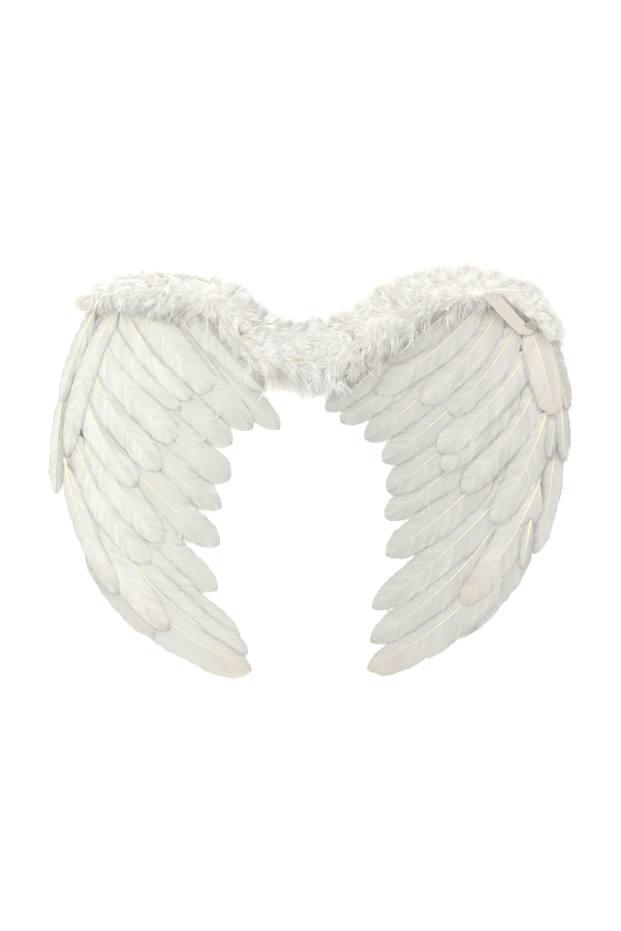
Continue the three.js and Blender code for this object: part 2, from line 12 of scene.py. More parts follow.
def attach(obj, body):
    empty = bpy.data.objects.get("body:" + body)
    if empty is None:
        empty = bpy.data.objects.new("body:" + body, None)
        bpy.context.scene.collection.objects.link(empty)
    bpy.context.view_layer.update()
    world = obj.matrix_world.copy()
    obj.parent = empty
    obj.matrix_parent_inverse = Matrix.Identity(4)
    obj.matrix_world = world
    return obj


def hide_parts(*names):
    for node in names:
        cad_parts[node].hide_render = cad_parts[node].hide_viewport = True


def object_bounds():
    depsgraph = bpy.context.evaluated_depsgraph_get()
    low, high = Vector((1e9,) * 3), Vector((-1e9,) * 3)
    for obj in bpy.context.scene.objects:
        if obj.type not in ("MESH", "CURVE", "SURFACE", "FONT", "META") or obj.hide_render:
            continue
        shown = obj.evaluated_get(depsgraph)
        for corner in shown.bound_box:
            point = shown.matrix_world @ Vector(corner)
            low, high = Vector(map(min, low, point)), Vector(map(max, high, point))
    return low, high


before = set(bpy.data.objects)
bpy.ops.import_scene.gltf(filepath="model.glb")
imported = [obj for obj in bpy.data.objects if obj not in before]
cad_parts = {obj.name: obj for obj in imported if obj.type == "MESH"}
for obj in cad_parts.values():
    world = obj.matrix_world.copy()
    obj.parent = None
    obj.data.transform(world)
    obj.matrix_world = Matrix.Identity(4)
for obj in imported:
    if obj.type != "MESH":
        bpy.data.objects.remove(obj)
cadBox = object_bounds()
mm = 0.001
body = "root"  # nothing on the wings is jointed, so every piece rides on the one body
low, high = (np.array(corner) for corner in cadBox)
size = high - low


def wingPlace(x, y):
    # a place in hundredths of the span and of the height, from the lower left corner of the wings
    return low[:2] + size[:2] * np.array([x, y]) / 100


def linear(hexColour):
    rgb = [int(hexColour[k:k + 2], 16) / 255 for k in (1, 3, 5)]
    return tuple(c / 12.92 if c <= 0.04045 else ((c + 0.055) / 1.055) ** 2.4 for c in rgb) + (1.0,)


def addNode(tree, kind, values=(), links=(), **settings):
    node = tree.nodes.new(kind)
    for key, value in settings.items():
        setattr(node, key, value)
    for key, value in dict(values).items():
        node.inputs[key].default_value = value
    for key, source in dict(links).items():
        tree.links.new(source, node.inputs[key])
    return node


def newMaterial(name, **shader):
    material = bpy.data.materials.new(name)
    material.use_nodes = True
    surface = material.node_tree.nodes["Principled BSDF"]
    for key, value in shader.items():
        surface.inputs[key.replace("_", " ")].default_value = value
    return material, material.node_tree, surface


def blendOf(tree, factor, first, second):
    # a colour between two, each a hex value or the output of a node
    mix = addNode(tree, "ShaderNodeMix", data_type="RGBA")
    for socket, colour in ((6, first), (7, second)):
        if isinstance(colour, str):
            mix.inputs[socket].default_value = linear(colour)
        else:
            tree.links.new(colour, mix.inputs[socket])
    tree.links.new(factor, mix.inputs[0])
    return mix.outputs[2]


def asPiece(name, shape, materials, smooth=True):
    # a bmesh or a mesh becomes an object at the origin
    if isinstance(shape, bmesh.types.BMesh):
        mesh = bpy.data.meshes.new(name)
        shape.to_mesh(mesh)
        shape.free()
    else:
        mesh = shape
        mesh.name = name
    for material in materials:
        mesh.materials.append(material)
    if smooth:
        mesh.shade_smooth()
    piece = bpy.data.objects.new(name, mesh)
    bpy.context.collection.objects.link(piece)
    return piece


def fit(piece, slotName, *nodes):
    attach(piece, body)
    if nodes:
        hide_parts(*nodes)
    return piece


def unit(vectors):
    return vectors / np.maximum(np.linalg.norm(vectors, axis=-1, keepdims=True), 1e-9)


def turned(flat, angle):
    cos, sin = np.cos(angle), np.sin(angle)
    return np.stack([flat[:, 0] * cos - flat[:, 1] * sin, flat[:, 0] * sin + flat[:, 1] * cos], axis=1)


# Studio: a plain white floor, an even white room and a large soft light from the upper left

studio = {"floor": "#FCFCFC", "room": 1.4, "softbox": 10.4, "softboxSize": 1.8, "softboxAt": (-1.1, 1.0, 1.3)}
photo = {"size": (621, 931), "wingsMiddle": (309.5, 471.5), "wingsAcross": 523, "lens": 85, "sensor": 36}


def buildStudio():
    board = bmesh.new()
    bmesh.ops.create_grid(board, x_segments=1, y_segments=1, size=4)
    material, tree, surface = newMaterial("paintedBoard", Base_Color=linear(studio["floor"]), Roughness=0.9)
    grain = addNode(tree, "ShaderNodeTexNoise", {"Scale": 90.0})
    relief = addNode(tree, "ShaderNodeBump", {"Strength": 0.02, "Distance": 0.001},
                     {"Height": grain.outputs["Fac"]})
    tree.links.new(relief.outputs["Normal"], surface.inputs["Normal"])
    asPiece("floor", board, [material])
    room = bpy.data.worlds.new("softRoom")
    room.use_nodes = True
    room.node_tree.nodes["Background"].inputs["Color"].default_value = linear("#FFFFFF")
    room.node_tree.nodes["Background"].inputs["Strength"].default_value = studio["room"]
    bpy.context.scene.world = room
    light = bpy.data.lights.new("softbox", "AREA")
    light.energy = studio["softbox"]
    light.size = studio["softboxSize"]
    softbox = bpy.data.objects.new("softbox", light)
    softbox.location = studio["softboxAt"]
    softbox.rotation_euler = (-Vector(studio["softboxAt"])).to_track_quat("-Z", "Y").to_euler()
    bpy.context.collection.objects.link(softbox)


def buildCamera():
    # straight above the wings, at the height from which they fill the photograph as they do there
    perPixel = size[0] / photo["wingsAcross"]
    width, height = photo["size"]
    middle = (low + high) / 2
    camera = bpy.data.cameras.new("camera")
    camera.lens = photo["lens"]
    camera.sensor_width = photo["sensor"]
    holder = bpy.data.objects.new("camera", camera)
    holder.location = (
        middle[0] + (width / 2 - photo["wingsMiddle"][0]) * perPixel,
        middle[1] + (photo["wingsMiddle"][1] - height / 2) * perPixel,
        middle[2] / 2 + perPixel * height * photo["lens"] / photo["sensor"],
    )
    bpy.context.collection.objects.link(holder)
    bpy.context.scene.camera = holder
    bpy.context.scene.view_settings.view_transform = "Standard"
    # white feathers and fur pass light on many times before it leaves them
    bpy.context.scene.cycles.max_bounces = 20
    bpy.context.scene.cycles.diffuse_bounces = 16


buildStudio()
buildCamera()
print("studio and camera ready")


# Many small strands, such as the barbs of a feather or the hairs of a fur, as one mesh of thin closed prisms.
# paths holds the points along each strand, halfWidths and heights its size at each point but the last, where
# it comes to a point, and ups the direction of its flat upper side.

def strandArrays(paths, halfWidths, heights, ups):
    count, steps = paths.shape[:2]
    travel = unit(np.gradient(paths, axis=1))
    aside = unit(np.cross(travel, ups))
    above = np.cross(aside, travel)
    wide = aside * halfWidths[..., None]
    tall = above * heights[..., None]
    ring = np.stack([paths + wide, paths + tall, paths - wide], axis=2)[:, :-1]
    points = np.concatenate([ring.reshape(count, -1, 3), paths[:, -1:]], axis=1)
    faces = [(0, 1, 2)]
    for step in range(steps - 2):
        for corner in range(3):
            a, b = 3 * step + corner, 3 * step + (corner + 1) % 3
            faces += [(a, a + 3, b), (b, a + 3, b + 3)]
    for corner in range(3):
        last = 3 * (steps - 2)
        faces.append((last + corner, points.shape[1] - 1, last + (corner + 1) % 3))
    allFaces = np.array(faces)[None] + (np.arange(count) * points.shape[1])[:, None, None]
    spread = [3] * (steps - 1) + [1]
    return (points.reshape(-1, 3), allFaces.reshape(-1, 3),
            lambda values: np.repeat(values, spread, axis=1).ravel())


def arrayMesh(name, points, faces, values):
    mesh = bpy.data.meshes.new(name)
    mesh.vertices.add(len(points))
    mesh.vertices.foreach_set("co", points.astype(np.float32).ravel())
    mesh.loops.add(3 * len(faces))
    mesh.loops.foreach_set("vertex_index", faces.astype(np.int32).ravel())
    mesh.polygons.add(len(faces))
    mesh.polygons.foreach_set("loop_start", np.arange(0, 3 * len(faces), 3, dtype=np.int32))
    mesh.update(calc_edges=True)
    for key, value in values.items():
        mesh.attributes.new(key, "FLOAT", "POINT").data.foreach_set("value", value.astype(np.float32))
    return mesh


def tubeAlong(shape, centres, outlines, layers, material=0):
    # bends a grid round a row of outlines, closes its seam and its two ends
    steps, corners = outlines.shape[:2]
    made = bmesh.ops.create_grid(shape, x_segments=corners, y_segments=steps - 1, size=1)["verts"]
    for vert in made:
        column = round((vert.co.x + 1) / 2 * corners) % corners
        row = round((vert.co.y + 1) / 2 * (steps - 1))
        vert.co = centres[row] + outlines[row, column]
        for layer, along in layers:
            vert[layer] = along[row]
    faces = {face for vert in made for face in vert.link_faces}
    bmesh.ops.remove_doubles(shape, verts=made, dist=1e-7)
    faces = [face for face in faces if face.is_valid]
    rims = [edge for edge in {edge for face in faces for edge in face.edges} if edge.is_boundary]
    caps = bmesh.ops.holes_fill(shape, edges=rims)["faces"]
    faces += caps
    for face in faces:
        face.material_index = material
    bmesh.ops.recalc_face_normals(shape, faces=faces)


# The CAD solids, read back as the sections that they were made through

def mergedNode(node):
    shape = bmesh.new()
    shape.from_mesh(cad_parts[node].data)
    bmesh.ops.remove_doubles(shape, verts=shape.verts, dist=0.002 * mm)
    shape.verts.ensure_lookup_table()
    return shape


def sectionsOf(node, corners, start):
    # from the section around start to the other end, ring by ring
    shape = mergedNode(node)
    nearest = sorted(shape.verts, key=lambda vert: (vert.co - Vector(start)).length)[:corners]
    seen, rings = set(nearest), []
    while nearest:
        rings.append(np.array([vert.co for vert in nearest]))
        nearest = list({edge.other_vert(vert) for vert in nearest for edge in vert.link_edges} - seen)
        seen |= set(nearest)
    shape.free()
    return rings


def treeOf(nodes):
    # one search tree over several CAD nodes
    points, faces = [], []
    for node in nodes:
        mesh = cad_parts[node].data
        faces += [[len(points) + k for k in polygon.vertices] for polygon in mesh.polygons]
        points += [vert.co.copy() for vert in mesh.vertices]
    return BVHTree.FromPolygons(points, faces)


nodeNames = sorted(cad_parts)
featherNames = [name for name in nodeNames if "_feather_" in name]
furNames = [name for name in nodeNames if name.endswith("_fur_trim")]
nodeTrees = {name: treeOf([name]) for name in featherNames}
coverTree = treeOf(featherNames + furNames)
# what the next feather can settle on: the panel and the vanes laid so far, from the lowest to the highest
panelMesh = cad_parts["backing_panel"].data
laid = {
    "points": [vert.co.copy() for vert in panelMesh.vertices],
    "faces": [list(polygon.vertices) for polygon in panelMesh.polygons],
    "tree": treeOf(["backing_panel"]),
}


def layVane(grids):
    # each grid holds the points of one side of a vane, barb by barb
    for grid in grids:
        start = len(laid["points"])
        count, steps = grid.shape[:2]
        laid["points"] += [Vector(point) for point in grid.reshape(-1, 3)]
        for k in range(count - 1):
            for step in range(steps - 1):
                corner = start + k * steps + step
                laid["faces"].append([corner, corner + 1, corner + steps + 1, corner + steps])
    laid["tree"] = BVHTree.FromPolygons(laid["points"], laid["faces"])


def laidTop(x, y, z=0.1):
    # the height of what is laid under a place, or of the floor
    hit = laid["tree"].ray_cast(Vector((x, y, z)), Vector((0, 0, -1)))[0]
    return max(hit.z, 0.0) if hit else 0.0


# Feathers: each node gives a feather's shaft line, width and lie, and the vane is made of single barbs on a
# thin web, with the shaft on top

featherMake = {
    "barbSpacing": 1.5 * mm,  # coarser than real barbs, so that they show
    "barbAngle": 36,  # degrees from the shaft
    "barbHeight": 0.15 * mm,
    "barbSteps": 5,
    "bareEnd": 0.05,
    "fullFrom": 0.2,
    "shaftRadius": 1.3 * mm,
    "tipRoundness": 2.4,
    "edgeNoise": 0.035,
    "ragged": 0.05,
    "wider": 1.05,  # than the CAD vanes, so that no gap shows between neighbours
    "splits": (1, 3),
    "splitAt": (0.25, 0.9),  # share of the edge
    "splitDepth": (0.3, 0.75),
    "splitOpens": 2.2 * mm,
    "camber": 1.2 * mm,
    "camberWithin": 17.5 * mm,  # of the shaft
    "belowRidge": 0.45 * mm,  # the barbs' roots under the top of the CAD shaft
    "deepestSettle": 6 * mm,  # how far an edge bends down to what it lies on
    "streaks": 0.38,  # how much the barbs differ in tone
    "greyer": {"left_flight": 0.6, "right_flight": 0.35},
}
# how the barbs lie between what is under them and what is on them
seatMake = {
    "lookFrom": 3 * mm,  # above a barb, for what it lies on
    "ownDepth": 0.6 * mm,  # below a barb, for what lies on it
    "clearOver": np.array([0.5, 0.5, 0.5, 0.25]) * mm,  # from near the shaft to the barb's end
    "clearUnder": 0.2 * mm,
}
# fine loose strands: barb ends that reach past the edges of a vane, and the down at its root
looseMake = {
    "halfWidth": 0.22 * mm,
    "fringe": 52,  # strands along each edge
    "fringeReach": (1.0 * mm, 6.0 * mm),
    "fringeTurn": 14,  # degrees
    "down": 56,
    "downUntil": 0.26,  # share of the length
    "downLength": (12 * mm, 27 * mm),
    "downAngle": (12, 75),  # degrees from the shaft
    "above": 0.3 * mm,  # what they lie on
}
# what single feathers have of their own: tip is the roundness of the tip, warm a pink-brown tint at the tip,
# splits the places of the splits as shares of the edge, with their side and depth, down and fringe the number
# of loose strands next to other feathers, cream a tint of the whole feather, tone how much greyer it is, and
# wide its width next to what the others have
featherNotes = {
    "left_flight_feather_04": {"tip": 3.2},
    "left_flight_feather_10": {"warm": 0.8},
    "left_flight_feather_11": {"warm": 0.5},
    "left_middle_feather_01": {"warm": 0.6},
    "left_middle_feather_07": {"tip": 1.6, "warm": 0.35},
    "left_middle_feather_06": {"tip": 4.5, "warm": 0.25},
    "left_middle_feather_08": {"splits": [(0.55, 1, 0.7), (0.68, 1, 0.8), (0.8, 1, 0.6), (0.4, 1, 0.5)]},
    "left_middle_feather_09": {"tip": 5.0},
    "left_outer_feather_01": {"warm": 0.4, "fringe": 2.5},
    "right_flight_feather_02": {"warm": 0.8},
    "right_middle_feather_02": {"warm": 0.7},
    "right_middle_feather_10": {"warm": 0.9, "tip": 1.8, "wide": 1.25},
    "right_outer_feather_01": {"warm": 0.6, "fringe": 2.5},
    "right_outer_feather_02": {"fringe": 2.5},
    "right_outer_feather_04": {"warm": 0.5, "down": 5, "fringe": 3.5, "cream": 0.1, "tone": -0.4,
                               "wide": 1.12},
    "right_outer_feather_05": {"warm": 0.6, "down": 7, "fringe": 4, "cream": 0.12, "tone": -0.4, "wide": 1.2},
    "right_outer_feather_03": {"fringe": 2},
    "left_outer_feather_03": {"down": 2, "fringe": 2.5},
    "left_outer_feather_04": {"down": 3, "fringe": 2.5},
    "left_middle_feather_04": {"down": 2.5},
    "left_middle_feather_03": {"down": 2},
    "left_flight_feather_02": {"down": 3},
    "right_middle_feather_05": {"down": 2.5},
    "right_flight_feather_04": {"down": 3},
}


def readFeather(node):
    # the root is the end whose nearest sections are both as thin as the bare shaft
    shape = mergedNode(node)
    points = np.array([vert.co for vert in shape.verts])
    shape.free()
    middle = points.mean(axis=0)
    axis = np.linalg.svd(points - middle, full_matrices=False)[2][0]
    ends = [points[np.argmax((points - middle) @ (axis * sign))] for sign in (1, -1)]

    def spreadAt(end):
        near = points[np.argsort(np.linalg.norm(points - end, axis=1))[:16]]
        return np.ptp((near - near.mean(axis=0)) @ np.cross(axis, (0, 0, 1)))

    rings = sectionsOf(node, 8, min(ends, key=spreadAt))
    sections = []
    for ring in rings:
        flat = ring[:, :2]
        apart = np.linalg.norm(flat[:, None] - flat[None], axis=2)
        a, b = np.unravel_index(np.argmax(apart), apart.shape)
        across = (flat[a] - flat[b]) / apart[a, b]
        sections.append((ring[np.argsort(flat @ across)], across))
    mids = np.array([ring[3:5].mean(axis=0) for ring, _ in sections])
    chord = mids[-1, :2] - mids[0, :2]
    length = np.linalg.norm(chord)
    along = chord / length
    leftward = np.array([-along[1], along[0]])
    shares = (mids[:, :2] - mids[0, :2]) @ along / length
    ordered = [ring if across @ leftward > 0 else ring[::-1] for ring, across in sections]
    ridge = np.array([ring[3:5, 2].max() for ring in ordered])
    third = ordered[3]
    bowAt = (mids[3, :2] - mids[0, :2]) @ leftward / (shares[3] * (1 - shares[3]))
    widths = featherMake["wider"] * np.array([
        [np.linalg.norm(ordered[k][edge, :2].mean(axis=0) - mids[k, :2]) for k in (2, 3, 4)]
        for edge in (slice(6, 8), slice(0, 2))])
    heights = [third[6:, 2].max(), third[:2, 2].max()]
    return {
        "root": mids[0, :2], "along": along, "leftward": leftward, "length": length, "bow": bowAt,
        "taper": 1 - shares[4], "widths": widths, "widthsAt": shares[2:5],
        "ridge": np.polyfit(shares, ridge, 2),
        "lean": (heights[0] - heights[1]) / widths[:, 1].sum(),
    }


def featherPoint(feather, s, v, lift=0.0):
    # s runs along the shaft from root to tip, v is the distance to its left
    bow = feather["bow"]
    slope = bow / feather["length"] * (1 - 2 * s)
    heading = unit(feather["along"] + slope[..., None] * feather["leftward"])
    across = np.stack([-heading[..., 1], heading[..., 0]], axis=-1)
    flat = (feather["root"] + (s * feather["length"])[..., None] * feather["along"]
            + (bow * s * (1 - s))[..., None] * feather["leftward"] + v[..., None] * across)
    z = (np.polyval(feather["ridge"], s) - featherMake["belowRidge"] + feather["lean"] * v
         - featherMake["camber"] * np.minimum(1, np.abs(v) / featherMake["camberWithin"]) ** 1.3 + lift)
    return np.concatenate([flat, z[..., None]], axis=-1)


def vaneWidth(feather, s, side, roundness):
    make = featherMake
    opening = np.clip((s - make["bareEnd"]) / (make["fullFrom"] - make["bareEnd"]), 0, 1) ** 0.7
    closing = 1 - np.clip(1 - (1 - s) / feather["taper"], 0, 1) ** roundness
    width = np.interp(s, feather["widthsAt"], feather["widths"][side])
    return width * opening * np.sqrt(np.maximum(closing, 0))


def smoothRow(rng, count, reach):
    # random values that change slowly along a row, between -1 and 1
    knots = rng.uniform(-1, 1, int(count / reach) + 3)
    at = np.linspace(0, len(knots) - 2, count)
    k = at.astype(int)
    share = (at - k) ** 2 * (3 - 2 * (at - k))
    return knots[k] * (1 - share) + knots[k + 1] * share


def vaneBarbs(feather, side, notes, opened, rng):
    # the barbs of one side of the vane, as shares along the shaft and distances from it
    make = featherMake
    length = feather["length"]
    roundness = notes.get("tip", make["tipRoundness"])
    s = 1 - (1 - make["bareEnd"]) * np.linspace(1, 0, 900) ** 1.7
    w = vaneWidth(feather, s, side, roundness)
    walked = np.concatenate([[0], np.cumsum(np.hypot(np.diff(s) * length, np.diff(w)))])
    count = int(walked[-1] / make["barbSpacing"])
    at = np.linspace(walked[-1] * 0.02, walked[-1], count)
    sEnd, wEnd = np.interp(at, walked, s), np.interp(at, walked, w)
    shift = wEnd / math.tan(math.radians(make["barbAngle"])) / length
    sBase = np.maximum.accumulate(np.maximum(0.03, sEnd - shift))
    uneven = make["edgeNoise"] * (smoothRow(rng, count, 9) + 0.5 * smoothRow(rng, count, 3))
    reachOut = 1 + uneven + rng.uniform(-1, 1, count) * make["ragged"]
    sway = np.zeros(count)
    splits = [(share, depth) for share, which, depth in notes.get("splits", []) if which == side]
    if "splits" not in notes:
        splits = [(rng.uniform(*make["splitAt"]), rng.uniform(*make["splitDepth"]))
                  for _ in range(rng.integers(*make["splits"]))]
    for share, depth in splits:
        k = int(share * count)
        before = np.arange(count) <= k
        far = np.abs(np.arange(count) - k)
        opens = np.where(before, -1, 0.5) * make["splitOpens"]
        sway += opens * depth * opened * np.exp(-far / rng.uniform(3, 7))
    t = np.linspace(0, 1, make["barbSteps"])[None] * reachOut[:, None]
    sAll = sBase[:, None] + (sEnd - sBase)[:, None] * t ** 1.25 + (sway / length)[:, None] * t ** 3
    vAll = wEnd[:, None] * t
    return np.minimum(sAll, 1.004), vAll, t


def buildFeather(node, vane, quill):
    seed = sum(ord(letter) * (k + 1) for k, letter in enumerate(node))
    rng = np.random.default_rng(seed)
    make = featherMake
    notes = featherNotes.get(node, {})
    feather = readFeather(node)
    feather["widths"] = feather["widths"] * notes.get("wide", 1)
    parts = []
    webs = []
    greyer = notes.get("tone", make["greyer"].get(node.split("_feather")[0], 0))
    for side, sign in ((0, 1), (1, -1)):
        s, v, t = vaneBarbs(feather, side, notes, 0.3 if "flight" in node else 1, rng)
        count = len(s)
        curl = np.clip(smoothRow(rng, count, 14), 0, 1)[:, None] * 0.9 * mm * t ** 2
        wave = 0.25 * mm * smoothRow(rng, count, 20)[:, None] * t
        shingle = np.where(np.arange(count) % 2, 0.05, -0.05)[:, None] * mm * t
        paths = seatBarbs(node, featherPoint(feather, s, sign * v, curl + wave + shingle))
        ups = np.zeros_like(paths)
        ups[..., 2] = 1
        wide = 0.62 * make["barbSpacing"] * (1 - 0.25 * t - 0.3 * t ** 4)
        tall = np.full_like(wide, make["barbHeight"])
        points, faces, spread = strandArrays(paths, wide, tall, ups)
        streak = 0.6 * rng.uniform(-1, 1, count) + 0.6 * smoothRow(rng, count, 4)
        tone = 0.5 + make["streaks"] * streak + greyer
        tone = np.repeat(tone[:, None], s.shape[1], axis=1)
        parts.append((points, faces, {"along": spread(s), "across": spread(t), "tone": spread(tone)}))
        webs.append(paths)
        parts.append(looseStrands(node, fringePaths(paths, notes, rng), 0.6, rng))
    parts.append(looseStrands(node, downPaths(feather, notes, rng), 0.2, rng))
    shaftTop = (0, 0, 0.25 * mm + 0.7 * shaftRadius(0.3))
    bare, aside = np.meshgrid([0, 0.03, 0.06], [-1.2 * mm, 0, 1.2 * mm], indexing="ij")
    layVane([np.concatenate([paths[:, :1] + shaftTop, paths[:, 1:]], axis=1) for paths in webs]
            + [featherPoint(feather, bare, aside) + shaftTop])
    base = np.cumsum([0] + [len(points) for points, _, _ in parts])
    keys = ("along", "across", "tone")
    mesh = arrayMesh(node, np.concatenate([part[0] for part in parts]),
                     np.concatenate([part[1] + start for part, start in zip(parts, base)]),
                     {key: np.concatenate([part[2][key] for part in parts]) for key in keys})
    shape = bmesh.new()
    shape.from_mesh(mesh)
    bpy.data.meshes.remove(mesh)
    layers = {key: shape.verts.layers.float[key] for key in keys}
    addWeb(shape, webs, layers)
    addShaft(shape, feather, layers)
    # the barbs stay flat-shaded, because light would leak into such thin strands otherwise
    piece = asPiece(node + "_vane", shape, [vane, quill], smooth=False)
    isShaft = np.zeros(len(piece.data.polygons), dtype=np.int32)
    piece.data.polygons.foreach_get("material_index", isShaft)
    piece.data.polygons.foreach_set("use_smooth", isShaft.astype(bool))
    along = np.zeros(len(piece.data.vertices), dtype=np.float32)
    piece.data.attributes["along"].data.foreach_get("value", along)
    warm = 0.5 * notes.get("warm", 0.0) * np.clip((along - 0.62) / 0.38, 0, 1)
    for key, value in (("warm", warm), ("cream", np.full_like(along, notes.get("cream", 0.0)))):
        piece.data.attributes.new(key, "FLOAT", "POINT").data.foreach_set("value", value.astype(np.float32))
    fit(piece, "left_feathers" if node.startswith("left") else "right_feathers", node)
    return piece


def nextAbove(node, start):
    # the first CAD surface above a point that isn't the node's own
    step = Vector((0, 0, 1))
    start = Vector(start)
    hit = coverTree.ray_cast(start, step, 30 * mm)[0]
    while hit and nodeTrees[node].find_nearest(hit, 0.01 * mm)[0]:
        start = hit + step * 0.01 * mm
        hit = coverTree.ray_cast(start, step, 30 * mm)[0]
    return hit.z if hit else None


def seatBarbs(node, paths):
    # the barbs bend down to what they lie on, evenly along the vane, and stay under what lies on them
    under, over = np.zeros(paths.shape[:2]), np.full(paths.shape[:2], np.inf)
    for k, path in enumerate(paths):
        for step in range(1, len(path)):
            x, y, z = path[step]
            under[k, step] = laidTop(x, y, z + seatMake["lookFrom"])
            above = nextAbove(node, (x, y, z - seatMake["ownDepth"]))
            if above:
                over[k, step] = above
    bend = np.linspace(0, 1, paths.shape[1]) ** 1.4
    drop = np.clip(paths[..., 2] - under, 0, featherMake["deepestSettle"]) * bend
    padded = np.pad(drop, ((3, 3), (0, 0)), mode="edge")
    drop = sum(padded[k:k + len(drop)] for k in range(7)) / 7
    z = paths[..., 2] - drop
    z[:, 1:] = np.maximum(z[:, 1:], under[:, 1:] + seatMake["clearOver"])
    paths[..., 2] = np.minimum(z, over - seatMake["clearUnder"])
    return paths


def fringePaths(barbs, notes, rng):
    # loose barb ends that run on past the edge of a vane
    make = looseMake
    count = int(make["fringe"] * notes.get("fringe", 1))
    picked = barbs[np.sort(rng.integers(2, len(barbs) - 1, count))]
    inner, edge = picked[:, -2], picked[:, -1]
    least, most = make["fringeReach"]
    reach = rng.uniform(0, 1, count) ** 2 * (most - least) + least
    turn = np.radians(make["fringeTurn"]) * (smoothRow(rng, count, 5) + 0.5 * rng.uniform(-1, 1, count))
    way = turned(unit(edge[:, :2] - inner[:, :2]), turn)
    paths = [inner + (0, 0, make["above"]), edge + (0, 0, make["above"])]
    for share in (0.5, 1):
        point = edge.copy()
        point[:, :2] += way * (reach * share)[:, None]
        point[:, 2] += make["above"]
        paths.append(point)
    return np.stack(paths, axis=1)


def downPaths(feather, notes, rng):
    # fine down that springs from both sides of the shaft near its root
    make = looseMake
    count = int(make["down"] * notes.get("down", 1))
    s = rng.uniform(0.01, make["downUntil"], count)
    side = rng.choice([-1, 1], count)
    root = featherPoint(feather, s, np.zeros(count))
    angle = side * np.radians(rng.uniform(*make["downAngle"], count))
    length = rng.uniform(*make["downLength"], count)
    curl = side * rng.uniform(-0.9, 0.3, count)
    along = np.repeat(feather["along"][None], count, axis=0)
    paths = [root]
    for share in (0.33, 0.67, 1):
        point = root.copy()
        point[:, :2] += turned(along, angle + curl * share) * (length * share)[:, None]
        point[:, 2] -= 1.2 * mm * share
        paths.append(point)
    return np.stack(paths, axis=1)


def looseStrands(node, paths, across, rng):
    make = looseMake
    count, steps = paths.shape[:2]
    for path in paths:
        for step in range(1, steps):
            x, y, z = path[step]
            under = laidTop(x, y, z + 2 * mm)
            z = max(min(z, under + rng.uniform(1, 4) * make["above"]), under + make["above"])
            over = nextAbove(node, (x, y, under))
            path[step, 2] = min(z, over - 0.1 * mm) if over else z
    t = np.linspace(0, 1, steps)[None]
    ups = np.zeros_like(paths)
    ups[..., 2] = 1
    wide = make["halfWidth"] * (1 - 0.5 * t) * rng.uniform(0.7, 1.4, (count, 1))
    points, faces, spread = strandArrays(paths, wide, 0.5 * wide, ups)
    even = np.ones((count, steps))
    tone = rng.uniform(-0.3, 0.5, (count, 1)) * even
    return points, faces, {"along": spread(0.4 * even), "across": spread(across * even), "tone": spread(tone)}


def addWeb(shape, webs, layers):
    # the thin closed web under the barbs
    lengthwise, columns = 21, 8
    rows = [np.linspace(0, len(paths) - 1, lengthwise + 1).astype(int) for paths in webs]
    made = bmesh.ops.create_grid(shape, x_segments=columns, y_segments=lengthwise, size=1)["verts"]
    for vert in made:
        column = round((vert.co.x + 1) / 2 * columns) - columns // 2
        row = round((vert.co.y + 1) / 2 * lengthwise)
        side = 0 if column >= 0 else 1
        path = webs[side][rows[side][row]]
        t = abs(column) / (columns // 2) * 0.9
        vert.co = [np.interp(t, np.linspace(0, 1, len(path)), values) for values in path.T]
        vert.co.z -= 0.12 * mm
        vert[layers["along"]] = row / lengthwise
        vert[layers["across"]] = t
        vert[layers["tone"]] = 0.5
    faces = list({face for vert in made for face in vert.link_faces})
    bmesh.ops.recalc_face_normals(shape, faces=faces)
    if sum(face.normal.z for face in faces) > 0:
        bmesh.ops.reverse_faces(shape, faces=faces)
    lower = bmesh.ops.extrude_face_region(shape, geom=faces, use_keep_orig=True)["geom"]
    lower = [part for part in lower if isinstance(part, bmesh.types.BMVert)]
    bmesh.ops.translate(shape, verts=lower, vec=(0, 0, -0.2 * mm))
    closed = list({face for vert in made + lower for face in vert.link_faces})
    bmesh.ops.recalc_face_normals(shape, faces=closed)


def shaftRadius(s):
    return featherMake["shaftRadius"] * (1 - 0.82 * s ** 0.7)


def addShaft(shape, feather, layers):
    steps, corners = 26, 8
    s = np.linspace(0, 0.985, steps)
    sunk = 1.3 * mm * np.clip(1 - s / 0.12, 0, 1)
    centres = featherPoint(feather, s, np.zeros(steps), 0.25 * mm - sunk)
    travel = unit(np.gradient(centres, axis=0))
    aside = unit(np.cross(travel, (0, 0, 1)))
    above = np.cross(aside, travel)
    radius = shaftRadius(s)
    centres[:, 2] = np.maximum(centres[:, 2], 0.7 * radius + 0.1 * mm)
    turn = np.linspace(0, 2 * math.pi, corners, endpoint=False)
    outlines = (radius[:, None, None] * (np.cos(turn)[None, :, None] * aside[:, None]
                                         + 0.7 * np.sin(turn)[None, :, None] * above[:, None]))
    values = [(layers["along"], s), (layers["across"], np.zeros(steps)), (layers["tone"], np.full(steps, 0.5))]
    tubeAlong(shape, centres, outlines, values, 1)


